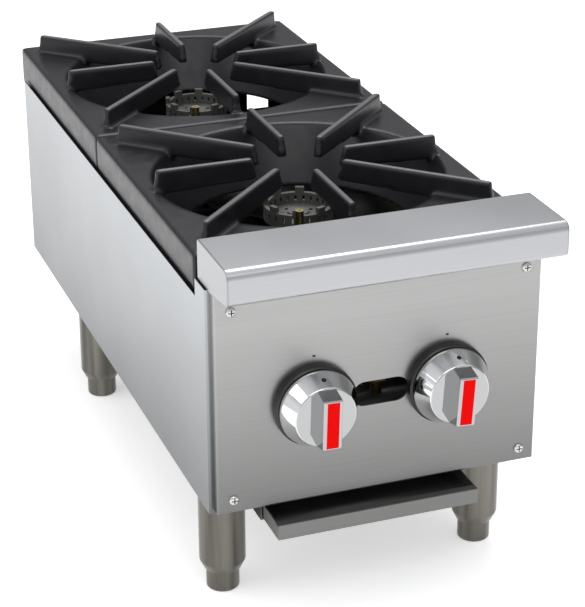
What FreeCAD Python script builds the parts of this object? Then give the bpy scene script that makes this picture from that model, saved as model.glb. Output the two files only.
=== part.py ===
import FreeCAD, Part
import math
import os

# Countertop gas hotplate with two burners in line, in millimetres.
# +Z is up, the front is towards -Y, the origin is on the counter under the middle of the box.

os.makedirs("parts", exist_ok=True)

# Body
sheet = 1.2
bend = 2.0
body_width = 305.0
body_depth = 640.0
body_base = 108.0
body_height = 194.0
ledge_reach = 53.0
inlet_reach = 23.0
side_tab_depth = 27.0
side_base_flange = 49.5
rear_flange = 25.0
rear_flange_drop = 12.0
panel_strip = 4.2
panel_proud = 10.0
panel_foot = 3.5
panel_clear = 0.1
screw_flange = 25.0
sill_return = 12.0
vent_width = 26.0
back_height = 130.6
back_lap = 12.0
back_screw_low = 26.75
back_screw_high = 85.6

# Ledge
ledge_inset = 2.0
ledge_rear = 25.0
ledge_lift = 16.0
ledge_height = 36.0
ledge_nose = 8.0
ledge_lip = 4.0
ledge_rise = 6.0
ledge_sheet = 1.5

# Knobs, valves and the pilot slot
knob_spacing = 122.0
valve_z = 204.0
knob_base_r = 35.0
knob_face_r = 27.0
knob_depth = 46.0
knob_skirt = 20.0
knob_wall = 2.5
grip_width = 17.0
grip_height = 46.0
stripe_width = 11.0
stripe_height = 42.0
stripe_depth = 0.8
bezel_r = 37.0
bezel_thick = 9.0
knob_gap = 0.8
stem_r = 4.0
stem_hole_r = 6.0
left_knob_turn = 1.5
right_knob_turn = 3.5
slot_length = 52.0
slot_height = 23.0
running = 0.06
seat = 0.05
free = 0.3

# Gas line
pipe_r = 13.35
pipe_bore_r = 10.5
inlet_thread_r = 12.6
inlet_thread = 20.0
manifold_y = 30.0
manifold_z = 170.0
manifold_left = 100.0
manifold_end = 3.0
inlet_x = 100.0
elbow_wall = 3.6
elbow_bend = 18.0
elbow_run = 12.0
valve_length = 32.0
valve_size = 26.0
nipple_r = 6.5
orifice_r = 7.0
orifice_length = 22.0
pilot_spacing = 24.0
pilot_valve_size = 14.0
pilot_valve_length = 20.0
pilot_tube_r = 3.2
pilot_tube_wall = 0.8
pilot_run_z = 242.0
pilot_bend = 10.0
pilot_lane = 30.0

# Burners
tube_r = 16.0
tube_bore_r = 12.5
tube_bend = 30.0
tube_mouth = 60.0
cup_r = 26.0
cup_bore_r = 21.0
cup_drop = 8.0
cup_height = 12.0
head_r = 32.0
head_height = 14.0
head_wall = 4.0
tooth_rise = 5.0
tooth_width = 8.0
hub_r = 10.0
hub_rise = 3.0
port_count = 24
port_width = 2.2
port_height = 5.0
port_lift = 2.0
shutter_length = 18.0
shutter_wall = 1.6
support_thick = 3.0
support_width = 32.0
pilot_x = 12.0
pilot_clear = 1.5
pilot_tip_r = 4.0
pilot_tip_drop = 2.0
pilot_tip_height = 24.0

# Grates
grate_side_gap = 1.8
grate_overhang = 17.5
grate_gap = 1.0
grate_front = 38.5
seat_drop = 6.0
plate_rise = 38.0
plate_thick = 7.0
skirt_thick = 6.0
end_skirt = 20.0
bowl_margin = 15.5
bowl_slope = 29.0
bowl_depth = 54.0
bowl_wall = 6.0
finger_rise = 18.6
finger_width = 7.5
finger_count = 8
finger_tip_r = 45.0
finger_slope = 5.0
finger_tip_depth = 20.0
finger_depth = 23.6
short_finger_lap = 1.0
long_finger_inset = 25.0
finger_draft = 3.0
rail_leg = 15.0
rear_rail_leg = 10.0
rail_thick = 1.5
rail_drop = 21.0
rail_front = 30.0

# Legs and tray
leg_inset = 28.5
front_leg_y = 56.0
rear_leg_y = 470.6
leg_r = 21.0
leg_clear = 20.0
leg_taper = 9.0
leg_tip_r = 17.0
foot_r = 15.0
foot_length = 46.0
foot_bore_top = 64.0
stud_r = 5.0
stud_length = 17.0
nut_flats = 17.0
nut_height = 8.0
rail_plate = 3.0
rail_plate_width = 72.0
tray_left_gap = 0.8
tray_right_gap = 13.8
tray_front = -28.0
tray_length = 660.0
tray_base = 87.0
tray_height = 14.0
tray_hem = 8.0
tray_side_gap = 1.0
runner_leg = 15.0
runner_front = 12.0

# Screws
screw_r = 2.0
screw_head_r = 4.5
screw_head = 2.4
screw_length = 12.0
screw_edge = 14.6
screw_low_inset = 12.3
screw_high_inset = 18.5

V = FreeCAD.Vector

half_width = body_width / 2
inner_x = half_width - sheet
front_reach = max(ledge_reach, panel_proud + knob_depth)
front_y = front_reach - (front_reach + body_depth + inlet_reach) / 2
rear_y = front_y + body_depth
body_top = body_base + body_height
ledge_base = body_top + ledge_lift
grate_seat = body_top - seat_drop
cup_top = grate_seat - cup_drop
pilot_tip_z = cup_top - pilot_tip_drop
pilot_span = head_r + pilot_tip_r + pilot_clear
pilot_lead = math.sqrt(pilot_span * pilot_span - pilot_x * pilot_x)
ledge_top = ledge_base + ledge_height
floor_z = body_base + sheet
face_y = front_y - panel_proud
panel_half = half_width - panel_strip
panel_bottom = body_base + panel_foot
screw_x = panel_half - screw_edge
screw_z_low = panel_bottom + screw_low_inset
screw_z_high = ledge_base - screw_high_inset
leg_x = half_width - leg_inset
knob_x = knob_spacing / 2
grate_width = 2 * (inner_x - grate_side_gap)
grate_pitch = (body_depth - grate_front + grate_overhang + grate_gap) / 2
bowl_r = min(grate_width, grate_pitch - grate_gap) / 2 - bowl_margin
bowl_foot_r = bowl_r - bowl_slope
front_centre_y = front_y + grate_front + (grate_pitch - grate_gap) / 2
rear_centre_y = front_centre_y + grate_pitch
support_top = valve_z - tube_r


def box(x0, x1, y0, y1, z0, z1):
    return Part.makeBox(x1 - x0, y1 - y0, z1 - z0, V(x0, y0, z0))


def post(r, x, y, z0, z1):
    return Part.makeCylinder(r, z1 - z0, V(x, y, z0), V(0, 0, 1))


def rod(r, x, z, y0, y1):
    return Part.makeCylinder(r, y1 - y0, V(x, y0, z), V(0, 1, 0))


def bar(r, y, z, x0, x1):
    return Part.makeCylinder(r, x1 - x0, V(x0, y, z), V(1, 0, 0))


def mirror_x(shape):
    return shape.mirror(V(0, 0, 0), V(1, 0, 0))


def rounded(points, radii, closed):
    """Straight runs through the points, joined by tangent arcs."""
    count = len(points)
    entry = []
    leave = []
    middle = []
    for i in range(count):
        p = points[i]
        r = radii[i]
        if r == 0 or (not closed and i in (0, count - 1)):
            entry.append(p)
            leave.append(p)
            middle.append(None)
            continue
        u = (p - points[i - 1]).normalize()
        v = (points[(i + 1) % count] - p).normalize()
        turn = u.getAngle(v)
        d = r * math.tan(turn / 2)
        inward = (v - u).normalize()
        entry.append(p - u * d)
        leave.append(p + v * d)
        middle.append(p + inward * (r / math.cos(turn / 2) - r))
    edges = []
    for i in range(count):
        if middle[i] is not None:
            edges.append(Part.Arc(entry[i], middle[i], leave[i]).toShape())
        j = (i + 1) % count
        if j == 0 and not closed:
            break
        if leave[i].distanceToPoint(entry[j]) > 1e-6:
            edges.append(Part.LineSegment(leave[i], entry[j]).toShape())
    return Part.Wire(edges)


def folded(points, thick, outer_radius):
    """Closed outline of a folded sheet whose outer side follows the points, sheet to the left of travel."""
    count = len(points)
    offset = []
    outer_radii = []
    inner_radii = []
    for i in range(count):
        p = points[i]
        if i == 0:
            v = (points[1] - p).normalize()
            offset.append(p + V(-v.y, v.x, 0) * thick)
        elif i == count - 1:
            u = (p - points[i - 1]).normalize()
            offset.append(p + V(-u.y, u.x, 0) * thick)
        else:
            u = (p - points[i - 1]).normalize()
            v = (points[i + 1] - p).normalize()
            n = V(-u.y, u.x, 0) + V(-v.y, v.x, 0)
            n.normalize()
            offset.append(p + n * (thick / math.cos(u.getAngle(v) / 2)))
        if i in (0, count - 1):
            outer_radii.append(0)
            inner_radii.append(0)
        elif u.x * v.y - u.y * v.x > 0:
            outer_radii.append(outer_radius)
            inner_radii.append(outer_radius - thick)
        else:
            outer_radii.append(outer_radius - thick)
            inner_radii.append(outer_radius)
    outline = points + offset[::-1]
    return rounded(outline, outer_radii + inner_radii[::-1], True)


def prism(wire, direction):
    return Part.Face(wire).extrude(direction)


def sweep(points, radius, r):
    path = rounded(points, [radius] * len(points), False)
    start = (points[1] - points[0]).normalize()
    ring = Part.Wire([Part.makeCircle(r, points[0], start)])
    return path.makePipeShell([ring], True, False)


def tube(points, radius, outer_r, inner_r):
    first = (points[1] - points[0]).normalize()
    last = (points[-1] - points[-2]).normalize()
    longer = [points[0] - first] + points[1:-1] + [points[-1] + last]
    return sweep(points, radius, outer_r).cut(sweep(longer, radius, inner_r))


def save(name, shape):
    solids = shape.Solids
    if not shape.isValid() or not solids:
        raise ValueError(name + " is not a valid solid")
    if len(solids) == 1:
        shape = solids[0]
    shape.exportStep("parts/" + name + ".step")


# Side panels: folded sheet with a rear flange, a front flange and a set-forward strip for the panel screws.
screw_flange_y = face_y + sheet
joggle_x = panel_half - bend - panel_clear
outline = folded(
    [
        V(half_width - rear_flange, rear_y, 0),
        V(half_width, rear_y, 0),
        V(half_width, front_y, 0),
        V(joggle_x - sheet, front_y, 0),
    ][::-1],
    sheet,
    bend,
)
side_top = ledge_base - free
outline.translate(V(0, 0, body_base))
side = prism(outline, V(0, 0, side_top - body_base))
side = side.cut(box(0, half_width + 1, front_y + side_tab_depth, rear_y + 1, body_top, side_top + 1))
side = side.cut(
    box(0, inner_x, rear_y - bend - 1, rear_y + 1, body_top - rear_flange_drop, side_top + 1)
)
side = side.fuse(
    box(half_width - side_base_flange, inner_x, front_y + bend, rear_y - bend, body_base, floor_z)
)
strip_low = panel_bottom + bend + panel_clear
strip_high = ledge_base - bend - panel_clear
side = side.fuse(
    box(joggle_x - sheet, joggle_x, screw_flange_y, front_y + sheet, strip_low, strip_high)
)
side = side.fuse(
    box(joggle_x - screw_flange, joggle_x, screw_flange_y, screw_flange_y + sheet, strip_low, strip_high)
)
for leg_y in (front_leg_y, rear_leg_y):
    side = side.cut(post(stud_r + free, leg_x, front_y + leg_y, body_base - 1, floor_z + 1))
for z in (screw_z_low, screw_z_high):
    side = side.cut(rod(screw_r + seat, screw_x, z, face_y, front_y))
back_screw_x = half_width - rear_flange / 2
back_screw_z = (body_base + back_screw_low, body_base + back_screw_high)
for z in back_screw_z:
    side = side.cut(rod(screw_r + seat, back_screw_x, z, rear_y - sheet - 1, rear_y + 1))
side = side.removeSplitter()
save("right_side_panel", side)
save("left_side_panel", mirror_x(side))

# Front panel: a shallow pan with returned edges, a top flange under the ledge, knob holes and a pilot slot.
pan = box(-panel_half, panel_half, face_y, front_y, panel_bottom, ledge_base)
edges = [e for e in pan.Edges if all(abs(v.Y - face_y) < 1e-6 for v in e.Vertexes)]
pan = pan.makeFillet(bend, edges)
hollow = box(
    sheet - panel_half, panel_half - sheet,
    face_y + sheet, front_y + 1,
    panel_bottom + sheet, ledge_base - sheet,
)
edges = [e for e in hollow.Edges if all(abs(v.Y - face_y - sheet) < 1e-6 for v in e.Vertexes)]
hollow = hollow.makeFillet(bend - sheet, edges)
pan = pan.cut(hollow)
pan = pan.fuse(
    box(
        screw_flange - panel_half,
        panel_half - screw_flange,
        front_y - 1,
        front_y + ledge_rear - ledge_sheet,
        ledge_base - sheet,
        ledge_base,
    )
)
slot_half = slot_length / 2 - slot_height / 2
slot = box(-slot_half, slot_half, face_y - 1, front_y, valve_z - slot_height / 2, valve_z + slot_height / 2)
for side_sign in (-1, 1):
    slot = slot.fuse(rod(slot_height / 2, side_sign * slot_half, valve_z, face_y - 1, front_y))
    pan = pan.cut(rod(stem_hole_r, side_sign * knob_x, valve_z, face_y - 1, front_y))
    for z in (screw_z_low, screw_z_high):
        pan = pan.cut(rod(screw_r + seat, side_sign * screw_x, z, face_y - 1, face_y + sheet + 1))
pan = pan.cut(slot).removeSplitter()
save("front_panel", pan)

# Ledge: one folded sheet with a bull-nose front, closed by a welded cap at each end.
nose_y = front_y - ledge_reach
back_y = front_y + ledge_rear
ledge_points = [
    V(0, back_y, ledge_base),
    V(0, face_y, ledge_base),
    V(0, nose_y, ledge_base + ledge_rise),
    V(0, nose_y, ledge_top),
    V(0, back_y, ledge_top),
]
ledge_radii = [ledge_sheet * 2, 0, ledge_lip, ledge_nose, ledge_sheet * 2]
ledge_wire = rounded(ledge_points, ledge_radii, True)
ledge_half = half_width - ledge_inset
sleeve = prism(ledge_wire, V(2 * ledge_half - 2 * ledge_sheet, 0, 0))
core = prism(ledge_wire.makeOffset2D(-ledge_sheet), V(2 * ledge_half - 2 * ledge_sheet, 0, 0))
sleeve = sleeve.cut(core)
sleeve.translate(V(ledge_sheet - ledge_half, 0, 0))
save("front_ledge", sleeve)
cap = prism(ledge_wire, V(ledge_sheet, 0, 0))
cap.translate(V(ledge_half - ledge_sheet, 0, 0))
save("ledge_right_cap", cap)
save("ledge_left_cap", mirror_x(cap))

# Back: a lower sheet with the gas inlet hole, and an upper one lapped on it that leaves a vent at each side.
sill_z = grate_seat - rail_drop - seat
back_inner = rear_y - 2 * sheet
back_half = half_width - bend
back_top = body_base + back_height
upper_half = half_width - rear_flange - vent_width
back = box(-back_half, back_half, back_inner, rear_y - sheet, floor_z, back_top)
back = back.cut(rod(pipe_r + free, inlet_x, manifold_z, back_inner - 1, rear_y))
for side_sign in (-1, 1):
    for z in back_screw_z:
        back = back.cut(rod(screw_r + seat, side_sign * back_screw_x, z, back_inner - 1, rear_y))
save("back_panel", back)
upper = box(-upper_half, upper_half, back_inner - sheet, back_inner, back_top - back_lap, sill_z)
upper = upper.fuse(box(-upper_half, upper_half, back_inner - sill_return, back_inner, sill_z - sheet, sill_z))
save("upper_back_panel", upper.removeSplitter())

# Leg rails: plates across the bottom flanges, drilled for the leg studs.
rail_top = floor_z + rail_plate
for name, leg_y in (("front_leg_rail", front_leg_y), ("rear_leg_rail", rear_leg_y)):
    mid = front_y + leg_y
    rail = box(
        panel_clear - inner_x, inner_x - panel_clear,
        mid - rail_plate_width / 2, mid + rail_plate_width / 2,
        floor_z, rail_top,
    )
    for side_sign in (-1, 1):
        rail = rail.cut(post(stud_r + free, side_sign * leg_x, mid, floor_z - 1, rail_top + 1))
    save(name, rail)

# Grate rails: angles along both sides, and one across the back, level with the seats of the grates.
cross_y = rear_y - sheet
rail = box(inner_x - rail_leg, inner_x, front_y + rail_front, cross_y - rear_rail_leg - free,
           grate_seat - rail_thick, grate_seat)
rail = rail.fuse(box(inner_x - rail_thick, inner_x, front_y + rail_front, cross_y - rear_rail_leg - free,
                     grate_seat - rail_drop, grate_seat))
rail = rail.removeSplitter()
save("right_grate_rail", rail)
save("left_grate_rail", mirror_x(rail))
rail = box(-back_half, back_half, cross_y - rear_rail_leg, cross_y, grate_seat - rail_thick, grate_seat)
rail = rail.fuse(
    box(-back_half, back_half, cross_y - rail_thick, cross_y, grate_seat - rail_drop, grate_seat)
)
save("rear_top_rail", rail.removeSplitter())

# Tray runners: channels hung under the leg rails; the right one has a wider top that closes the gap by it.
flange_edge = half_width - side_base_flange
tray_left = tray_left_gap + sheet + tray_side_gap - flange_edge
tray_right = flange_edge - tray_right_gap - sheet - tray_side_gap
runner_y0 = front_y + runner_front
runner_y1 = back_inner - seat


def runner(web, inward, outward):
    x0 = web
    x1 = web + inward * sheet
    x2 = web + inward * runner_leg
    channel = box(min(x0, x1), max(x0, x1), runner_y0, runner_y1, tray_base - sheet, floor_z)
    channel = channel.fuse(box(min(x0, x2), max(x0, x2), runner_y0, runner_y1, tray_base - sheet, tray_base))
    x3 = web - inward * outward
    channel = channel.fuse(box(min(x3, x2), max(x3, x2), runner_y0, runner_y1, floor_z - sheet, floor_z))
    return channel.removeSplitter()


save("left_tray_runner", runner(tray_left - tray_side_gap - sheet, 1, 0))
save("right_tray_runner", runner(tray_right + tray_side_gap + sheet, -1, tray_right_gap - seat))

# Drip tray: an open pan with a hemmed front lip.
tray_y0 = front_y + tray_front
tray_y1 = tray_y0 + tray_length
tray_top = tray_base + tray_height
tray = box(tray_left, tray_right, tray_y0, tray_y1, tray_base, tray_top)
tray = tray.cut(
    box(
        tray_left + sheet, tray_right - sheet,
        tray_y0 + sheet, tray_y1 - sheet,
        tray_base + sheet, tray_top + 1,
    )
)
tray = tray.fuse(box(tray_left, tray_right, tray_y0, tray_y0 + tray_hem, tray_top - sheet, tray_top))
save("drip_tray", tray.removeSplitter())

# Burner supports: flat bars across the body under the burner necks.
for name, centre_y in (("front_burner_support", front_centre_y), ("rear_burner_support", rear_centre_y)):
    save(name, box(-inner_x, inner_x, centre_y - support_width / 2, centre_y + support_width / 2,
                   support_top - support_thick, support_top))

# Burner bodies: cast mixing tubes that turn up into a neck and end in a cup for the head.
mouth_y = front_y + tube_mouth
cup_mid = cup_top - cup_height
cone_low = cup_mid - (cup_r - tube_r)
window_y0 = mouth_y + shutter_length * 0.35
window_y1 = mouth_y + shutter_length
window_half = tube_r * 0.45


def burner_body(x, centre_y):
    turn_y = centre_y - abs(x) * 1.2
    points = [V(x, mouth_y, valve_z), V(x, turn_y, valve_z), V(0, centre_y, valve_z), V(0, centre_y, cup_mid)]
    outer = sweep(points, tube_bend, tube_r)
    outer = outer.fuse(Part.makeCone(tube_r, cup_r, cup_mid - cone_low, V(0, centre_y, cone_low), V(0, 0, 1)))
    outer = outer.fuse(post(cup_r, 0, centre_y, cup_mid, cup_top))
    outer = outer.fuse(post(tube_r * 0.75, 0, centre_y, support_top, valve_z + tube_r))
    longer = [V(x, mouth_y - 1, valve_z)] + points[1:]
    inner = sweep(longer, tube_bend, tube_bore_r)
    inner = inner.fuse(
        Part.makeCone(tube_bore_r, cup_bore_r, cup_mid - cone_low, V(0, centre_y, cone_low), V(0, 0, 1))
    )
    inner = inner.fuse(post(cup_bore_r, 0, centre_y, cup_mid, cup_top + 1))
    inner = inner.fuse(
        box(
            x - window_half, x + window_half, window_y0, window_y1,
            valve_z - tube_r - 1, valve_z + tube_r + 1,
        )
    )
    return outer.cut(inner)


save("front_burner_body", burner_body(-knob_x, front_centre_y))
save("rear_burner_body", burner_body(knob_x, rear_centre_y))

# Burner heads: an open crown with teeth on its rim and ports in its wall, standing on the rim of the cup.
head_top = cup_top + head_height
head_floor = cup_top + head_wall
tooth_top = head_top + tooth_rise
head = post(head_r, 0, 0, cup_top, tooth_top)
head = head.cut(post(head_r - head_wall, 0, 0, head_floor, tooth_top + 1))
gaps = post(head_r + 1, 0, 0, head_top, tooth_top + 1)
for i in range(finger_count):
    tooth = box(0, head_r + 2, -tooth_width / 2, tooth_width / 2, head_top, tooth_top + 1)
    tooth.rotate(V(0, 0, 0), V(0, 0, 1), 360.0 * (i + 0.5) / finger_count)
    gaps = gaps.cut(tooth)
head = head.cut(gaps)
head = head.fuse(post(hub_r, 0, 0, cup_top, head_floor + hub_rise))
port_low = head_floor + port_lift
for i in range(port_count):
    port = box(
        head_r - head_wall - 1, head_r + 1,
        -port_width / 2, port_width / 2,
        port_low, port_low + port_height,
    )
    port.rotate(V(0, 0, 0), V(0, 0, 1), 360.0 * i / port_count)
    head = head.cut(port)
for i in range(finger_count):
    angle = 2 * math.pi * (i + 0.5) / finger_count
    reach = (hub_r + cup_bore_r) / 2
    head = head.cut(
        post(port_width, reach * math.cos(angle), reach * math.sin(angle), cup_top - 1, head_floor + 1)
    )
head = head.removeSplitter()
for name, centre_y in (("front_burner_head", front_centre_y), ("rear_burner_head", rear_centre_y)):
    placed = head.copy()
    placed.translate(V(0, centre_y, 0))
    save(name, placed)

# Air shutters: turning collars over the air windows at the mouths of the mixing tubes.
shutter_y0 = mouth_y + shutter_length * 0.2
shutter_y1 = shutter_y0 + shutter_length
for name, x in (("front_air_shutter", -knob_x), ("rear_air_shutter", knob_x)):
    collar = rod(tube_r + running + shutter_wall, x, valve_z, shutter_y0, shutter_y1)
    collar = collar.cut(rod(tube_r + running, x, valve_z, shutter_y0 - 1, shutter_y1 + 1))
    collar = collar.cut(
        box(
            x - window_half, x + window_half, window_y0, window_y1,
            valve_z - 2 * tube_r, valve_z + 2 * tube_r,
        )
    )
    save(name, collar)

# Manifold: a pipe across the front with its left end closed, an elbow, and the inlet pipe to the back.
line_y = front_y + manifold_y
corner = V(inlet_x, line_y, manifold_z)
reach = elbow_bend + elbow_run
manifold_right = inlet_x - elbow_bend - seat
pipe = bar(pipe_r, line_y, manifold_z, -manifold_left, manifold_right)
pipe = pipe.cut(bar(pipe_bore_r, line_y, manifold_z, manifold_end - manifold_left, manifold_right + 1))
valve_foot = manifold_z + pipe_bore_r
for x in (-knob_x, knob_x):
    pipe = pipe.cut(post(nipple_r + seat, x, line_y, manifold_z, manifold_z + pipe_r + 1))
pilot_nipple_r = pilot_valve_size / 2 - 2
for x in (-pilot_spacing / 2, pilot_spacing / 2):
    pipe = pipe.cut(post(pilot_nipple_r + seat, x, line_y, manifold_z, manifold_z + pipe_r + 1))
save("gas_manifold", pipe)
elbow = tube(
    [V(inlet_x - reach, line_y, manifold_z), corner, V(inlet_x, line_y + reach, manifold_z)],
    elbow_bend, pipe_r + elbow_wall, pipe_r + seat,
)
save("manifold_elbow", elbow)
inlet_y0 = line_y + elbow_bend + seat
inlet_y1 = rear_y + inlet_reach
inlet = rod(pipe_r, inlet_x, manifold_z, inlet_y0, inlet_y1 - inlet_thread)
inlet = inlet.fuse(rod(inlet_thread_r, inlet_x, manifold_z, inlet_y1 - inlet_thread, inlet_y1))
inlet = inlet.cut(rod(pipe_bore_r, inlet_x, manifold_z, inlet_y0 - 1, inlet_y1 + 1))
save("inlet_pipe", inlet)

# Manifold brackets: two upright plates on the front leg rail, each with a saddle for the pipe.
brackets = []
for x in (-knob_x - valve_size, knob_x - valve_size):
    y0 = line_y - pipe_r * 0.7
    y1 = line_y + pipe_r
    plate = box(x - sheet, x + sheet, y0, y1, rail_top, manifold_z)
    plate = plate.fuse(box(x - sheet, x + pipe_r, y0, y1, rail_top, rail_top + 2 * sheet))
    brackets.append(plate.cut(bar(pipe_r, line_y, manifold_z, x - pipe_r, x + 2 * pipe_r)).removeSplitter())
save("manifold_brackets", Part.makeCompound(brackets))

# Gas valves: brass blocks on the manifold, with the stem in front and the orifice behind.
valve_y0 = line_y - valve_length / 2
valve_y1 = line_y + valve_length / 2
stem_y1 = valve_y1 - 2 * stem_r
stem_y0 = face_y - knob_depth + stem_r * 2
spigot_y = valve_y1 + orifice_length / 3
for prefix, x in (("left", -knob_x), ("right", knob_x)):
    half = valve_size / 2
    block = box(x - half, x + half, valve_y0, valve_y1, valve_z - half, valve_z + half)
    block = block.fuse(post(nipple_r, x, line_y, valve_foot, valve_z))
    block = block.fuse(rod(stem_r, x, valve_z, valve_y1 - 1, spigot_y))
    block = block.cut(rod(stem_r + running, x, valve_z, valve_y0 - 1, stem_y1 + free))
    save(prefix + "_valve_body", block.removeSplitter())
    hood = rod(orifice_r, x, valve_z, valve_y1, valve_y1 + orifice_length)
    hood = hood.cut(rod(stem_r + seat, x, valve_z, valve_y1 - 1, spigot_y + free))
    hood = hood.cut(rod(1.0, x, valve_z, spigot_y, valve_y1 + orifice_length + 1))
    save(prefix + "_orifice", hood)
    stem = rod(stem_r, x, valve_z, stem_y0, stem_y1)
    save(prefix + "_valve_stem", stem)

# Pilot valves and their adjusting screws, reached through the slot in the front panel.
pilot_y0 = line_y - pilot_valve_length / 2
pilot_y1 = line_y + pilot_valve_length / 2
pilot_screw_r = pilot_nipple_r / 2
outlet_y = pilot_y1 + 2 * pilot_tube_r
for prefix, x in (("left", -pilot_spacing / 2), ("right", pilot_spacing / 2)):
    half = pilot_valve_size / 2
    block = box(x - half, x + half, pilot_y0, pilot_y1, valve_z - half, valve_z + half)
    block = block.fuse(post(pilot_nipple_r, x, line_y, valve_foot, valve_z))
    block = block.fuse(rod(pilot_tube_r * 1.6, x, valve_z, pilot_y1 - 1, outlet_y))
    block = block.cut(rod(pilot_tube_r + seat, x, valve_z, pilot_y1 - pilot_tube_r, outlet_y + 1))
    block = block.cut(rod(pilot_screw_r + running, x, valve_z, pilot_y0 - 1, line_y + free))
    save(prefix + "_pilot_valve", block.removeSplitter())
    screw = rod(pilot_screw_r, x, valve_z, pilot_y0 - free, line_y)
    screw = screw.fuse(rod(pilot_screw_r * 1.7, x, valve_z, pilot_y0 - free - 4, pilot_y0 - free))
    screw = screw.cut(
        box(x - half, x + half, pilot_y0 - free - 5, pilot_y0 - free - 3, valve_z - 0.5, valve_z + 0.5)
    )
    save(prefix + "_pilot_screw", screw)

# Pilot tubes: bent tubes from the pilot valves to the pilot burners beside the heads.
tube_start = pilot_y1 - pilot_tube_r + seat
rise_y = outlet_y + pilot_bend * 1.5
tube_end_z = pilot_tip_z + 4
front_x = -pilot_spacing / 2
front_pilot_y = front_centre_y - pilot_lead
points = [
    V(front_x, tube_start, valve_z),
    V(front_x, rise_y, valve_z),
    V(front_x, rise_y, pilot_run_z),
    V(-pilot_x, front_pilot_y, pilot_run_z),
    V(-pilot_x, front_pilot_y, tube_end_z),
]
save("front_pilot_tube", tube(points, pilot_bend, pilot_tube_r, pilot_tube_r - pilot_tube_wall))
rear_x = pilot_spacing / 2
rear_pilot_y = rear_centre_y - pilot_lead
points = [
    V(rear_x, tube_start, valve_z),
    V(rear_x, rise_y, valve_z),
    V(rear_x, rise_y, pilot_run_z),
    V(rear_x, rise_y + 3 * pilot_bend, pilot_run_z),
    V(pilot_lane, rise_y + 6 * pilot_bend, pilot_run_z),
    V(pilot_lane, rear_pilot_y - 4 * pilot_bend, pilot_run_z),
    V(-pilot_x, rear_pilot_y, pilot_run_z),
    V(-pilot_x, rear_pilot_y, tube_end_z),
]
save("rear_pilot_tube", tube(points, pilot_bend, pilot_tube_r, pilot_tube_r - pilot_tube_wall))

# Pilot burners: brass tips on the tube ends, each with an ear that reaches the side of the burner cup.
ear_z = pilot_tip_z - 2
for name, centre_y in (("front_pilot_burner", front_centre_y), ("rear_pilot_burner", rear_centre_y)):
    pilot_y = centre_y - pilot_lead
    away = math.degrees(math.atan2(-pilot_lead, -pilot_x))
    ear = box(0, pilot_span, -pilot_tip_r, pilot_tip_r, ear_z, pilot_tip_z)
    ear.rotate(V(0, 0, 0), V(0, 0, 1), away)
    ear.translate(V(0, centre_y, 0))
    ear = ear.cut(post(cup_r, 0, centre_y, ear_z - 1, pilot_tip_z + 1))
    tip = post(pilot_tip_r, -pilot_x, pilot_y, ear_z, pilot_tip_z + pilot_tip_height)
    tip = tip.fuse(ear)
    tip = tip.cut(post(pilot_tube_r + seat, -pilot_x, pilot_y, ear_z - 1, tube_end_z))
    tip = tip.cut(post(1.0, -pilot_x, pilot_y, ear_z, pilot_tip_z + pilot_tip_height + 1))
    save(name, tip.removeSplitter())

# Knobs: a hollow chromed skirt with a grip bar, a boss on the valve stem and a red inlay in the grip.
skirt_y = face_y - bezel_thick - knob_gap
disc_y = skirt_y - knob_skirt
grip_y = face_y - knob_depth
for prefix, x, turn in (("left", -knob_x, left_knob_turn), ("right", knob_x, right_knob_turn)):
    ring = rod(bezel_r, x, valve_z, face_y - bezel_thick, face_y)
    ring = ring.cut(rod(stem_hole_r, x, valve_z, face_y - bezel_thick - 1, face_y + 1))
    save(prefix + "_knob_bezel", ring)
    axis = V(0, 1, 0)
    knob = Part.makeCone(knob_face_r, knob_base_r, knob_skirt, V(x, disc_y, valve_z), axis)
    knob = knob.cut(
        Part.makeCone(
            knob_face_r - knob_wall, knob_base_r - knob_wall, knob_skirt,
            V(x, disc_y + 2 * knob_wall, valve_z), axis,
        )
    )
    knob = knob.fuse(rod(stem_r * 2, x, valve_z, disc_y, skirt_y))
    grip = Part.makeCone(
        grip_height / 2 - 1, knob_face_r - 1, disc_y + knob_wall - grip_y, V(x, grip_y, valve_z), axis
    )
    grip = grip.common(
        box(
            x - grip_width / 2, x + grip_width / 2, grip_y - 1, disc_y + knob_wall,
            valve_z - knob_base_r, valve_z + knob_base_r,
        )
    )
    knob = knob.fuse(grip)
    knob = knob.cut(rod(stem_r + seat, x, valve_z, stem_y0 - free, skirt_y + 1))
    inlay = box(
        x - stripe_width / 2, x + stripe_width / 2, grip_y, grip_y + stripe_depth,
        valve_z - stripe_height / 2, valve_z + stripe_height / 2,
    )
    recess = box(
        x - stripe_width / 2 - seat, x + stripe_width / 2 + seat, grip_y - 1, grip_y + stripe_depth,
        valve_z - stripe_height / 2 - seat, valve_z + stripe_height / 2 + seat,
    )
    knob = knob.cut(recess).removeSplitter()
    knob.rotate(V(x, 0, valve_z), V(0, 1, 0), turn)
    inlay.rotate(V(x, 0, valve_z), V(0, 1, 0), turn)
    save(prefix + "_knob", knob)
    save(prefix + "_knob_stripe", inlay)

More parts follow.
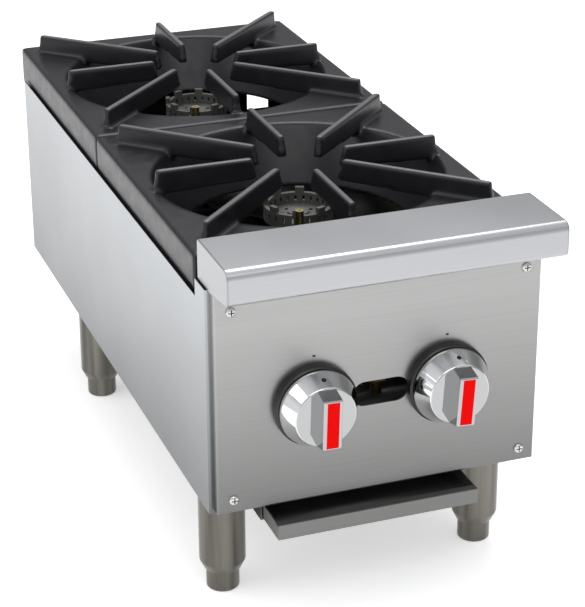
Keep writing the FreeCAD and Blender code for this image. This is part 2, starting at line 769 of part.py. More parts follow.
# Legs and feet: a barrel with a tapered end and a stud through the base, and a foot that screws into it.
for end, leg_y in (("front", front_leg_y), ("rear", rear_leg_y)):
    for hand, x in (("left", -leg_x), ("right", leg_x)):
        y = front_y + leg_y
        barrel = post(leg_r, x, y, leg_clear + leg_taper, body_base)
        barrel = barrel.fuse(Part.makeCone(leg_tip_r, leg_r, leg_taper, V(x, y, leg_clear), V(0, 0, 1)))
        barrel = barrel.fuse(post(stud_r, x, y, body_base - 1, body_base + stud_length))
        barrel = barrel.cut(post(foot_r + running, x, y, leg_clear - 1, foot_bore_top))
        barrel = barrel.cut(post(stud_r + free, x, y, foot_bore_top - 1, body_base - 2 * stud_r))
        save(end + "_" + hand + "_leg", barrel.removeSplitter())
        foot = post(foot_r, x, y, 0, foot_length)
        rim = [e for e in foot.Edges if all(abs(v.Z) < 1e-6 for v in e.Vertexes)]
        foot = foot.makeChamfer(foot_r * 0.1, rim)
        foot = foot.fuse(post(stud_r, x, y, foot_length - 1, foot_length + 2 * stud_length))
        save(end + "_" + hand + "_foot", foot.removeSplitter())
nuts = []
for leg_y in (front_leg_y, rear_leg_y):
    for x in (-leg_x, leg_x):
        corners = []
        for i in range(7):
            angle = math.radians(60 * i + 30)
            reach = nut_flats / math.sqrt(3)
            across = reach * math.cos(angle)
            along = reach * math.sin(angle)
            corners.append(V(x + across, front_y + leg_y + along, rail_top))
        nut = prism(Part.makePolygon(corners), V(0, 0, nut_height))
        nuts.append(nut.cut(post(stud_r + seat, x, front_y + leg_y, rail_top - 1, rail_top + nut_height + 1)))
save("leg_nuts", Part.makeCompound(nuts))

# Grates: cast iron with a flat plate, side skirts, a round bowl and eight fingers that carry the pan.
plate_top = grate_seat + plate_rise
plate_low = plate_top - plate_thick
half_x = grate_width / 2
half_y = (grate_pitch - grate_gap) / 2
casting = box(-half_x, half_x, -half_y, half_y, plate_low, plate_top)
casting = casting.cut(post(bowl_r + bowl_wall / 2, 0, 0, plate_low - 1, plate_top + 1))
for side_sign in (-1, 1):
    outer = side_sign * half_x
    inner = side_sign * (half_x - skirt_thick)
    casting = casting.fuse(box(min(outer, inner), max(outer, inner), -half_y, half_y, grate_seat, plate_top))
    outer = side_sign * half_y
    inner = side_sign * (half_y - skirt_thick)
    casting = casting.fuse(
        box(-half_x, half_x, min(outer, inner), max(outer, inner), plate_top - end_skirt, plate_top)
    )
casting = casting.removeSplitter()
edges = []
for e in casting.Edges:
    ends = e.Vertexes
    if len(ends) != 2:
        continue
    at_top = all(abs(v.Z - plate_top) < 1e-6 for v in ends)
    outside = all(abs(abs(v.X) - half_x) < 1e-6 or abs(abs(v.Y) - half_y) < 1e-6 for v in ends)
    if at_top and outside:
        edges.append(e)
casting = casting.makeFillet(plate_thick / 2, edges)
bowl_foot_z = plate_top - bowl_depth
points = [
    V(bowl_r, 0, plate_top),
    V(bowl_foot_r, 0, bowl_foot_z),
    V(bowl_foot_r + bowl_wall, 0, bowl_foot_z),
    V(bowl_r + bowl_wall, 0, plate_top),
]
wire = rounded(points, [bowl_wall * 0.6, bowl_wall * 0.3, bowl_wall * 0.3, 0], True)
bowl = Part.Face(wire).revolve(V(0, 0, 0), V(0, 0, 1), 360)
casting = casting.fuse(bowl)
finger_top = plate_top + finger_rise
finger_low = finger_top - finger_depth
short_finger_r = bowl_r + short_finger_lap
long_finger_r = min(half_x, half_y) * math.sqrt(2) - long_finger_inset
for i in range(finger_count):
    root = bowl_r + bowl_wall / 2
    end_r = long_finger_r if i % 2 else short_finger_r
    foot_z = plate_top - 1
    points = [
        V(finger_tip_r, -finger_width / 2, finger_top),
        V(finger_tip_r - finger_slope, -finger_width / 2, finger_top - finger_tip_depth),
        V(root, -finger_width / 2, finger_low),
        V(root, -finger_width / 2, foot_z),
        V(end_r + finger_draft, -finger_width / 2, foot_z),
        V(end_r, -finger_width / 2, finger_top),
    ]
    finger = prism(Part.makePolygon(points + points[:1]), V(0, finger_width, 0))
    finger.rotate(V(0, 0, 0), V(0, 0, 1), 360.0 * i / finger_count)
    casting = casting.fuse(finger)
casting = casting.removeSplitter()
for name, centre_y in (("front_grate", front_centre_y), ("rear_grate", rear_centre_y)):
    placed = casting.copy()
    placed.translate(V(0, centre_y, 0))
    save(name, placed)

# Screws: four pan heads in the front panel and four in the back, all alike.
screws = []
for side_sign in (-1, 1):
    for z in (screw_z_low, screw_z_high):
        x = side_sign * screw_x
        screw = rod(screw_r, x, z, face_y - 1, face_y + screw_length)
        screws.append(screw.fuse(rod(screw_head_r, x, z, face_y - screw_head, face_y)).removeSplitter())
    for z in back_screw_z:
        x = side_sign * back_screw_x
        screw = rod(screw_r, x, z, rear_y - screw_length, rear_y + 1)
        screws.append(screw.fuse(rod(screw_head_r, x, z, rear_y, rear_y + screw_head)).removeSplitter())
save("panel_screws", Part.makeCompound(screws))
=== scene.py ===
import math
import bmesh
import bpy
from mathutils import Matrix, Vector


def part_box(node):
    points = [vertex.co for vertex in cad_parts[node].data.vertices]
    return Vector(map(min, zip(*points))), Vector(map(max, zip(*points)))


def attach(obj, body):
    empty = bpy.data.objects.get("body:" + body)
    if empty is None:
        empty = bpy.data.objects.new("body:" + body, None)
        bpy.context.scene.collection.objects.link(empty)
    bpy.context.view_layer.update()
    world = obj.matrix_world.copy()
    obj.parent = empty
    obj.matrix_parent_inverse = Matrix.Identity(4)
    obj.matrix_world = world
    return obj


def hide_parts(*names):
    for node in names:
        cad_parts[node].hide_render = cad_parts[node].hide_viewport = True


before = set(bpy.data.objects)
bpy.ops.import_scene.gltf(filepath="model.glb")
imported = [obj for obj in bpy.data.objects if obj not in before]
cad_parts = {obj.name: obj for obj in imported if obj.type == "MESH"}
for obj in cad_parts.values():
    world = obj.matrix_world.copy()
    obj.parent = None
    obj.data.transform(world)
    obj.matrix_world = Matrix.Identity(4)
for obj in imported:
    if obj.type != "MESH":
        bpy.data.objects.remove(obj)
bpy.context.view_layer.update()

# The studio: a pale floor under a soft sky of light, brightest overhead and towards the room in front, with
# soft boxes above. The camera stands left of the front and above it, as for a catalogue picture.
scene = bpy.context.scene
scene.view_settings.view_transform = "Standard"
picture_height = 607
focal_pixels = 2046.39
sensor = 36.0
turn_left = math.radians(-19.979)
look_down = math.radians(24.251)
roll = math.radians(-0.260)
look_at = Vector((0, -0.0035, 0.2))
camera_distance = 2.01857
camera_aside = 0.03101
camera_drop = 0.04043
camera_back = Vector((
    math.sin(turn_left) * math.cos(look_down),
    -math.cos(turn_left) * math.cos(look_down),
    math.sin(look_down),
))
level_right = Vector((math.cos(turn_left), math.sin(turn_left), 0))
level_up = camera_back.cross(level_right)
camera_right = level_right * math.cos(roll) + level_up * math.sin(roll)
camera_up = level_up * math.cos(roll) - level_right * math.sin(roll)
camera_place = look_at + camera_back * camera_distance
camera_place += camera_right * camera_aside - camera_up * camera_drop
camera_data = bpy.data.cameras.new("camera")
camera_data.sensor_fit = "VERTICAL"
camera_data.sensor_height = sensor
camera_data.lens = focal_pixels * sensor / picture_height
camera = bpy.data.objects.new("camera", camera_data)
camera.matrix_world = Matrix((
    (camera_right.x, camera_up.x, camera_back.x, camera_place.x),
    (camera_right.y, camera_up.y, camera_back.y, camera_place.y),
    (camera_right.z, camera_up.z, camera_back.z, camera_place.z),
    (0, 0, 0, 1),
))
scene.collection.objects.link(camera)
scene.camera = camera

horizon_light = (0.36, 0.365, 0.375, 1)
upper_light = (0.90, 0.90, 0.91, 1)
overhead_light = (0.95, 0.95, 0.96, 1)
room_light = (0.85, 0.85, 0.86, 1)
towards_back = (0.5, 0.866, 0)
world = bpy.data.worlds.new("studio sky")
scene.world = world
world.use_nodes = True
sky = world.node_tree
sky.nodes.clear()
sky_place = sky.nodes.new("ShaderNodeTexCoord")
sky_axes = sky.nodes.new("ShaderNodeSeparateXYZ")
sky_height = sky.nodes.new("ShaderNodeValToRGB")
sky_side = sky.nodes.new("ShaderNodeVectorMath")
sky_front = sky.nodes.new("ShaderNodeMapRange")
sky_low = sky.nodes.new("ShaderNodeMapRange")
sky_room = sky.nodes.new("ShaderNodeMath")
sky_mix = sky.nodes.new("ShaderNodeMix")
sky_light = sky.nodes.new("ShaderNodeBackground")
sky_out = sky.nodes.new("ShaderNodeOutputWorld")
sky_steps = sky_height.color_ramp
sky_steps.elements[0].position = 0.0
sky_steps.elements[0].color = horizon_light
sky_steps.elements[1].position = 1.0
sky_steps.elements[1].color = overhead_light
middle_sky = sky_steps.elements.new(0.42)
middle_sky.color = horizon_light
upper_sky = sky_steps.elements.new(0.72)
upper_sky.color = upper_light
sky_side.operation = "DOT_PRODUCT"
sky_side.inputs[1].default_value = towards_back
sky_front.inputs["From Min"].default_value = 0.1
sky_front.inputs["From Max"].default_value = -0.5
sky_low.inputs["From Min"].default_value = 0.60
sky_low.inputs["From Max"].default_value = 0.25
sky_room.operation = "MULTIPLY"
sky_mix.data_type = "RGBA"
sky_mix.inputs["B"].default_value = room_light
sky_light.inputs["Strength"].default_value = 1.0
sky.links.new(sky_place.outputs["Generated"], sky_axes.inputs["Vector"])
sky.links.new(sky_axes.outputs["Z"], sky_height.inputs["Fac"])
sky.links.new(sky_place.outputs["Generated"], sky_side.inputs[0])
sky.links.new(sky_side.outputs["Value"], sky_front.inputs["Value"])
sky.links.new(sky_axes.outputs["Z"], sky_low.inputs["Value"])
sky.links.new(sky_front.outputs["Result"], sky_room.inputs[0])
sky.links.new(sky_low.outputs["Result"], sky_room.inputs[1])
sky.links.new(sky_room.outputs["Value"], sky_mix.inputs["Factor"])
sky.links.new(sky_height.outputs["Color"], sky_mix.inputs["A"])
sky.links.new(sky_mix.outputs["Result"], sky_light.inputs["Color"])
sky.links.new(sky_light.outputs["Background"], sky_out.inputs["Surface"])


def soft_box(name, place, target, width, height, power):
    lamp_data = bpy.data.lights.new(name, "AREA")
    lamp_data.shape = "RECTANGLE"
    lamp_data.size = width
    lamp_data.size_y = height
    lamp_data.energy = power
    lamp = bpy.data.objects.new(name, lamp_data)
    lamp.location = place
    lamp.rotation_euler = (Vector(target) - Vector(place)).to_track_quat("-Z", "Y").to_euler()
    scene.collection.objects.link(lamp)


soft_box("top soft box", (0.37, 0.70, 1.8), (0, 0, 0.2), 1.1, 1.1, 14)
soft_box("front soft box", (-0.30, -1.60, 1.85), (0, 0, 0.3), 1.3, 0.7, 6)
soft_box("left soft box", (-1.45, -0.10, 1.40), (-0.06, -0.34, 0.2), 1.7, 0.9, 7)

floor_reach = 9.0
floor_glow = 0.46
floor_bm = bmesh.new()
bmesh.ops.create_grid(floor_bm, x_segments=1, y_segments=1, size=floor_reach)
floor_mesh = bpy.data.meshes.new("floor")
floor_bm.to_mesh(floor_mesh)
floor_bm.free()
floor_paint = bpy.data.materials.new("pale floor")
floor_paint.use_nodes = True
floor_shader = floor_paint.node_tree.nodes["Principled BSDF"]
floor_shader.inputs["Base Color"].default_value = (0.90, 0.90, 0.90, 1)
floor_shader.inputs["Roughness"].default_value = 0.9
floor_shader.inputs["Specular IOR Level"].default_value = 0.1
floor_tree = floor_paint.node_tree
floor_rays = floor_tree.nodes.new("ShaderNodeLightPath")
floor_seen = floor_tree.nodes.new("ShaderNodeMath")
floor_shown = floor_tree.nodes.new("ShaderNodeMath")
floor_level = floor_tree.nodes.new("ShaderNodeMath")
floor_white = floor_tree.nodes.new("ShaderNodeEmission")
floor_sum = floor_tree.nodes.new("ShaderNodeAddShader")
floor_seen.operation = "MAXIMUM"
floor_shown.operation = "MAXIMUM"
floor_level.operation = "MULTIPLY"
floor_level.inputs[1].default_value = floor_glow
floor_tree.links.new(floor_rays.outputs["Is Camera Ray"], floor_seen.inputs[0])
floor_tree.links.new(floor_rays.outputs["Is Glossy Ray"], floor_seen.inputs[1])
floor_tree.links.new(floor_seen.outputs["Value"], floor_shown.inputs[0])
floor_tree.links.new(floor_rays.outputs["Is Transmission Ray"], floor_shown.inputs[1])
floor_tree.links.new(floor_shown.outputs["Value"], floor_level.inputs[0])
floor_tree.links.new(floor_level.outputs["Value"], floor_white.inputs["Strength"])
floor_tree.links.new(floor_shader.outputs["BSDF"], floor_sum.inputs[0])
floor_tree.links.new(floor_white.outputs["Emission"], floor_sum.inputs[1])
floor_tree.links.new(floor_sum.outputs["Shader"], floor_tree.nodes["Material Output"].inputs["Surface"])
floor_mesh.materials.append(floor_paint)
floor = bpy.data.objects.new("floor", floor_mesh)
scene.collection.objects.link(floor)

# Side panels: stainless sheet folded at the front, back and bottom, with a fine grain along its length.
# They carry everything else, and the front panel is screwed to their front strips.
noise_low = 0.3
noise_high = 0.7


def grained_metal(name, colour, roughness, grain, shade, depth):
    """Metal with a directional grain: grain gives lines per metre along X, Y and Z."""
    metal = bpy.data.materials.new(name)
    metal.use_nodes = True
    tree = metal.node_tree
    shader = tree.nodes["Principled BSDF"]
    shader.inputs["Metallic"].default_value = 1.0
    place = tree.nodes.new("ShaderNodeTexCoord")
    spread = tree.nodes.new("ShaderNodeMapping")
    lines = tree.nodes.new("ShaderNodeTexNoise")
    cloud = tree.nodes.new("ShaderNodeTexNoise")
    tone = tree.nodes.new("ShaderNodeMapRange")
    tint = tree.nodes.new("ShaderNodeMix")
    gloss = tree.nodes.new("ShaderNodeMapRange")
    bump = tree.nodes.new("ShaderNodeBump")
    spread.inputs["Scale"].default_value = grain
    lines.inputs["Scale"].default_value = 1.0
    lines.inputs["Detail"].default_value = 3.0
    cloud.inputs["Scale"].default_value = 9.0
    cloud.inputs["Detail"].default_value = 2.0
    tone.inputs["From Min"].default_value = noise_low
    tone.inputs["From Max"].default_value = noise_high
    tint.data_type = "RGBA"
    tint.inputs["A"].default_value = tuple(c * (1 - shade) for c in colour) + (1,)
    tint.inputs["B"].default_value = tuple(min(1, c * (1 + shade)) for c in colour) + (1,)
    gloss.inputs["From Min"].default_value = noise_low
    gloss.inputs["From Max"].default_value = noise_high
    gloss.inputs["To Min"].default_value = roughness * 0.95
    gloss.inputs["To Max"].default_value = roughness * 1.05
    bump.inputs["Strength"].default_value = depth
    bump.inputs["Distance"].default_value = 0.0002
    tree.links.new(place.outputs["Object"], spread.inputs["Vector"])
    tree.links.new(place.outputs["Object"], cloud.inputs["Vector"])
    tree.links.new(spread.outputs["Vector"], lines.inputs["Vector"])
    tree.links.new(lines.outputs["Fac"], tone.inputs["Value"])
    tree.links.new(tone.outputs["Result"], tint.inputs["Factor"])
    tree.links.new(tint.outputs["Result"], shader.inputs["Base Color"])
    tree.links.new(cloud.outputs["Fac"], gloss.inputs["Value"])
    tree.links.new(gloss.outputs["Result"], shader.inputs["Roughness"])
    tree.links.new(lines.outputs["Fac"], bump.inputs["Height"])
    tree.links.new(bump.outputs["Normal"], shader.inputs["Normal"])
    return metal


def finish_node(node, material):
    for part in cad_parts[node].material_slots:
        part.material = material


def paint_shade_towards(metal, axis, shade_end, bright_end, share):
    """Paints the metal's colour darker towards a place on an axis: painted shade, for darker surroundings
    that the metal mirrors there.
    """
    tree = metal.node_tree
    colour = tree.nodes["Principled BSDF"].inputs["Base Color"]
    clean = colour.links[0].from_socket
    place = tree.nodes.new("ShaderNodeTexCoord")
    axes = tree.nodes.new("ShaderNodeSeparateXYZ")
    level = tree.nodes.new("ShaderNodeMapRange")
    painted_darker = tree.nodes.new("ShaderNodeVectorMath")
    level.inputs["From Min"].default_value = shade_end
    level.inputs["From Max"].default_value = bright_end
    level.inputs["To Min"].default_value = share
    painted_darker.operation = "SCALE"
    tree.links.new(place.outputs["Object"], axes.inputs["Vector"])
    tree.links.new(axes.outputs[axis], level.inputs["Value"])
    tree.links.new(clean, painted_darker.inputs[0])
    tree.links.new(level.outputs["Result"], painted_darker.inputs["Scale"])
    tree.links.new(painted_darker.outputs["Vector"], colour)


def paint_shade_inside(metal, inner_shade, outer_faces):
    """Paints the metal dark except on its outer faces, each given as an axis, a direction and a place on it:
    painted shade for the dark inside of the body.
    """
    tree = metal.node_tree
    colour = tree.nodes["Principled BSDF"].inputs["Base Color"]
    clean = colour.links[0].from_socket
    place = tree.nodes.new("ShaderNodeTexCoord")
    axes = tree.nodes.new("ShaderNodeSeparateXYZ")
    tree.links.new(place.outputs["Object"], axes.inputs["Vector"])
    outside = None
    for axis, direction, limit in outer_faces:
        beyond = tree.nodes.new("ShaderNodeMath")
        beyond.operation = "GREATER_THAN" if direction > 0 else "LESS_THAN"
        beyond.inputs[1].default_value = limit
        tree.links.new(axes.outputs[axis], beyond.inputs[0])
        if outside is None:
            outside = beyond
        else:
            either = tree.nodes.new("ShaderNodeMath")
            either.operation = "MAXIMUM"
            tree.links.new(outside.outputs[0], either.inputs[0])
            tree.links.new(beyond.outputs[0], either.inputs[1])
            outside = either
    inner_shaded = tree.nodes.new("ShaderNodeMix")
    inner_shaded.data_type = "RGBA"
    inner_shaded.inputs["A"].default_value = inner_shade + (1,)
    tree.links.new(outside.outputs[0], inner_shaded.inputs["Factor"])
    tree.links.new(clean, inner_shaded.inputs["B"])
    tree.links.new(inner_shaded.outputs["Result"], colour)


inside_shade_colour = (0.06, 0.055, 0.05)
side_outer_x = 0.1521
side_front_y = -0.3025
side_rear_y = 0.3361
side_foot_z = 0.108
side_bright_z = 0.31
side_steel = grained_metal("side steel", (0.382, 0.397, 0.409), 0.33, (40, 3, 700), 0.03, 0.10)
# Painted shade: the side steel is painted darker towards the foot, down to 36%, for the shaded floor near
# the body that the sides mirror.
paint_shade_towards(side_steel, "Z", side_foot_z, side_bright_z, 0.36)
# Painted shade: all but the outer faces of the sides are painted dark, for the dark inside of the body.
paint_shade_inside(
    side_steel,
    inside_shade_colour,
    (("X", -1, -side_outer_x), ("X", 1, side_outer_x), ("Y", -1, side_front_y), ("Y", 1, side_rear_y)),
)
for node in ("left_side_panel", "right_side_panel"):
    finish_node(node, side_steel)

# Back panels: a lower stainless sheet with the hole for the gas inlet, screwed to the rear flanges of the
# sides, and an upper one lapped on it that leaves a vent by each side. Their inner faces are painted dark:
# painted shade.
for node, outer_y in (("back_panel", 0.3350), ("upper_back_panel", 0.3338)):
    back_steel = grained_metal(node + " steel", (0.33, 0.338, 0.345), 0.35, (3, 40, 700), 0.04, 0.10)
    paint_shade_inside(back_steel, inside_shade_colour, (("Y", 1, outer_y),))
    finish_node(node, back_steel)

# Rails, runners and cross bars: plain mill-finish steel inside the body, bent or cut from strip.
# The leg rails lie on the bottom flanges, the grate rails and burner bars are fixed between the sides.
# Its colour is darker than bare mill steel: partly the steel's own dull grey, partly painted shade for the
# dark inside of the body.
mill_steel_painted_dark = grained_metal("mill steel", (0.16, 0.155, 0.15), 0.45, (30, 30, 30), 0.08, 0.05)
for node in (
    "front_leg_rail", "rear_leg_rail", "left_grate_rail", "right_grate_rail", "rear_top_rail",
    "left_tray_runner", "right_tray_runner", "front_burner_support", "rear_burner_support",
    "manifold_brackets", "front_air_shutter", "rear_air_shutter", "left_valve_stem", "right_valve_stem",
    "leg_nuts",
):
    finish_node(node, mill_steel_painted_dark)

# Legs: turned steel barrels with a satin nickel finish and a tapered lower end. A stud on top goes through
# the base and its rail, and a foot screws into the bore from below.


def turn(bm, outline, centre, axis, steps):
    """Spins an outline of radius and height pairs about an axis through the centre."""
    axis = Vector(axis)
    sideways = axis.orthogonal().normalized()
    rim = [bm.verts.new(centre + sideways * radius + axis * height) for radius, height in outline]
    edges = [bm.edges.new(pair) for pair in zip(rim, rim[1:])]
    bmesh.ops.spin(
        bm, geom=rim + edges, cent=centre, axis=axis, angle=math.tau, steps=steps, use_merge=True
    )
    bmesh.ops.remove_doubles(bm, verts=bm.verts, dist=1e-6)


def soften(bm, width, segments, sharper_than=30):
    """Rounds every edge whose faces meet more sharply than the angle."""
    limit = math.radians(sharper_than)
    edges = [e for e in bm.edges if len(e.link_faces) == 2 and e.calc_face_angle() > limit]
    bmesh.ops.bevel(
        bm, geom=edges, offset=width, offset_type="OFFSET", affect="EDGES", segments=segments,
        profile=0.5, material=-1, clamp_overlap=True,
    )


def add_piece(name, bm, material, body, nodes, smooth=40):
    """Makes the piece from its bmesh and puts it on its body in place of the CAD nodes."""
    bmesh.ops.recalc_face_normals(bm, faces=bm.faces)
    mesh = bpy.data.meshes.new(name)
    bm.to_mesh(mesh)
    bm.free()
    mesh.shade_smooth()
    mesh.set_sharp_from_angle(angle=math.radians(smooth))
    mesh.materials.append(material)
    piece = bpy.data.objects.new(name, mesh)
    scene.collection.objects.link(piece)
    if smooth < 180:
        even = piece.modifiers.new("flat faces stay flat", "WEIGHTED_NORMAL")
        even.keep_sharp = True
    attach(piece, body)
    if nodes:
        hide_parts(*nodes)


# The nickel's grain carries strong light and dark vertical bands: partly the satin finish's own streaks,
# partly painted reflection of light and dark surroundings.
nickel = grained_metal("satin nickel", (0.145, 0.138, 0.12), 0.30, (95, 95, 3), 0.42, 0.05)
leg_outline = (
    (0.0, 0.062), (0.01506, 0.062), (0.01506, 0.020), (0.0166, 0.020), (0.021, 0.029), (0.021, 0.108),
    (0.005, 0.108), (0.005, 0.125), (0.0, 0.125),
)
foot_outline = (
    (0.0, 0.0), (0.0135, 0.0), (0.015, 0.0015), (0.015, 0.046), (0.005, 0.046), (0.005, 0.080), (0.0, 0.080),
)
for end in ("front", "rear"):
    for hand in ("left", "right"):
        node = end + "_" + hand + "_leg"
        low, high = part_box(node)
        centre = Vector(((low.x + high.x) / 2, (low.y + high.y) / 2, 0))
        bm = bmesh.new()
        turn(bm, leg_outline, centre, (0, 0, 1), 64)
        soften(bm, 0.0006, 2, 20)
        add_piece(node + "_turned", bm, nickel, "frame_body", [node])
        node = end + "_" + hand + "_foot"
        bm = bmesh.new()
        turn(bm, foot_outline, centre, (0, 0, 1), 64)
        soften(bm, 0.0005, 2, 20)
        add_piece(node + "_turned", bm, nickel, end + "_" + hand + "_foot_screw", [node])

# Gas line: black iron pipe from the inlet at the back to the manifold behind the front panel, with brass
# valves, orifices and pilot valves screwed into it, and drawn aluminium tubes to the pilots.


def plain_finish(name, colour, roughness, metallic, grain, shade, depth):
    """A coated or cast surface with small even mottling."""
    coat = bpy.data.materials.new(name)
    coat.use_nodes = True
    tree = coat.node_tree
    shader = tree.nodes["Principled BSDF"]
    shader.inputs["Metallic"].default_value = metallic
    place = tree.nodes.new("ShaderNodeTexCoord")
    grains = tree.nodes.new("ShaderNodeTexNoise")
    cloud = tree.nodes.new("ShaderNodeTexNoise")
    tint = tree.nodes.new("ShaderNodeMix")
    gloss = tree.nodes.new("ShaderNodeMapRange")
    bump = tree.nodes.new("ShaderNodeBump")
    grains.inputs["Scale"].default_value = grain
    grains.inputs["Detail"].default_value = 3.0
    cloud.inputs["Scale"].default_value = grain / 12
    cloud.inputs["Detail"].default_value = 2.0
    tint.data_type = "RGBA"
    tint.inputs["A"].default_value = tuple(c * (1 - shade) for c in colour) + (1,)
    tint.inputs["B"].default_value = tuple(min(1, c * (1 + shade)) for c in colour) + (1,)
    gloss.inputs["From Min"].default_value = noise_low
    gloss.inputs["From Max"].default_value = noise_high
    gloss.inputs["To Min"].default_value = roughness * 0.88
    gloss.inputs["To Max"].default_value = roughness * 1.12
    bump.inputs["Strength"].default_value = depth
    bump.inputs["Distance"].default_value = 0.0004
    tree.links.new(place.outputs["Object"], grains.inputs["Vector"])
    tree.links.new(place.outputs["Object"], cloud.inputs["Vector"])
    tree.links.new(cloud.outputs["Fac"], tint.inputs["Factor"])
    tree.links.new(tint.outputs["Result"], shader.inputs["Base Color"])
    tree.links.new(cloud.outputs["Fac"], gloss.inputs["Value"])
    tree.links.new(gloss.outputs["Result"], shader.inputs["Roughness"])
    tree.links.new(grains.outputs["Fac"], bump.inputs["Height"])
    tree.links.new(bump.outputs["Normal"], shader.inputs["Normal"])
    return coat


pipe_black = plain_finish("black pipe", (0.03, 0.03, 0.03), 0.45, 0.0, 500, 0.2, 0.15)
for node in ("gas_manifold", "manifold_elbow", "inlet_pipe"):
    finish_node(node, pipe_black)
brass = plain_finish("machined brass", (0.62, 0.50, 0.22), 0.28, 1.0, 400, 0.1, 0.05)
for node in (
    "left_valve_body", "right_valve_body", "left_orifice", "right_orifice", "left_pilot_valve",
    "right_pilot_valve", "left_pilot_screw", "right_pilot_screw", "front_pilot_burner", "rear_pilot_burner",
):
    finish_node(node, brass)
tube_aluminium = plain_finish("drawn aluminium", (0.62, 0.62, 0.63), 0.35, 1.0, 300, 0.05, 0.05)
for node in ("front_pilot_tube", "rear_pilot_tube"):
    finish_node(node, tube_aluminium)

# Burners: cast-iron mixing tubes and open crown heads with ports in their walls, dull grey bare castings.
# The bodies stand on the cross bars, and each head sits loose on the rim of its cup.
tube_iron = plain_finish("dark cast iron", (0.05, 0.048, 0.046), 0.5, 0.3, 700, 0.25, 0.35)
head_iron = plain_finish("bare cast iron", (0.12, 0.119, 0.113), 0.48, 0.6, 700, 0.25, 0.35)
for end in ("front", "rear"):
    finish_node(end + "_burner_body", tube_iron)
    finish_node(end + "_burner_head", head_iron)

# Front panel: a pan of stainless sheet with a long-grain brushed face, folded edges, two stem holes and an
# oblong slot for reaching the pilot screws. Four screws hold it to the sides.
panel_foot_z = 0.1115
panel_bright_z = 0.285
panel_steel = grained_metal("brushed panel steel", (0.375, 0.375, 0.37), 0.34, (8, 40, 1500), 0.035, 0.12)
# Painted shade: the panel is painted darker towards its foot, down to 50%, for the shaded floor in front
# that it mirrors.
paint_shade_towards(panel_steel, "Z", panel_foot_z, panel_bright_z, 0.50)
finish_node("front_panel", panel_steel)

# Panel screws: zinc-plated steel screws with pan heads and a cross recess. Four hold the front panel to the
# strips of the sides, and four the lower back sheet to their rear flanges.
screw_zinc = plain_finish("zinc plate", (0.62, 0.62, 0.60), 0.25, 1.0, 600, 0.06, 0.04)
screw_head_r = 0.0045
screw_head_rise = 0.0024
screw_shank_r = 0.002
screw_shank = 0.012
panel_face_y = -0.3135
front_screw_x = 0.1337
back_face_y = 0.3365
back_screw_x = 0.140
back_screw_heights = (0.13475, 0.1936)
screws_low, screws_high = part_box("panel_screws")
screw_places = []
for x in (-front_screw_x, front_screw_x):
    for z in (screws_low.z + screw_head_r, screws_high.z - screw_head_r):
        screw_places.append((Vector((x, panel_face_y, z)), -1))
for x in (-back_screw_x, back_screw_x):
    for z in back_screw_heights:
        screw_places.append((Vector((x, back_face_y, z)), 1))
bm = bmesh.new()
for place, facing in screw_places:
    turn(
        bm,
        (
            (0.0, -screw_shank), (screw_shank_r, -screw_shank), (screw_shank_r, 0.0), (screw_head_r, 0.0),
            (screw_head_r, 0.0007), (0.0040, 0.0015), (0.0030, 0.0021), (0.0015, screw_head_rise),
            (0.0, screw_head_rise),
        ),
        place, (0, facing, 0), 32,
    )
add_piece("panel_screw_heads", bm, screw_zinc, "frame_body", ["panel_screws"], 50)


def block(bm, low, high):
    """A box between two corners."""
    low = Vector(low)
    high = Vector(high)
    size = high - low
    place = Matrix.Translation((low + high) / 2) @ Matrix.Diagonal((size.x, size.y, size.z, 1))
    bmesh.ops.create_cube(bm, size=1.0, matrix=place)


shade_black = plain_finish("shade in a recess", (0.01, 0.01, 0.01), 0.6, 0.0, 500, 0.1, 0.0)
recess_arm = 0.0027
recess_half = 0.0005
recess_rise = screw_head_rise + 0.00004
recess_depth = 0.0009
# The cross recess is not cut: a thin black cross laid on each head is painted shade for it.
bm = bmesh.new()
for place, facing in screw_places:
    for across, along in ((recess_arm, recess_half), (recess_half, recess_arm)):
        faces = sorted((facing * (recess_rise - recess_depth), facing * recess_rise))
        block(
            bm, place + Vector((-across, faces[0], -along)), place + Vector((across, faces[1], along))
        )
add_piece("panel_screw_recess_shade", bm, shade_black, "frame_body", [])

# Ledge: one stainless sheet folded into a bull nose across the front, with a plate welded in at each end.
# It overhangs the knobs and its top is a little above the plates of the grates.
ledge_steel = grained_metal("ledge steel", (0.45, 0.455, 0.467), 0.32, (6, 1500, 1500), 0.02, 0.0)
# Painted shade: the end plates get a darker copy of the ledge's stainless, at about 82% of its colour.
cap_steel_painted_dark = grained_metal("ledge cap steel", (0.365, 0.368, 0.378), 0.32, (40, 1500, 6), 0.02, 0.0)
ledge_low, ledge_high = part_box("front_ledge")
cap_low, cap_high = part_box("ledge_right_cap")
ledge_lip_z = ledge_low.z + 0.006
ledge_nose_r = 0.008
ledge_lip_r = 0.004
ledge_back_r = 0.003
cap_edge = 0.0008


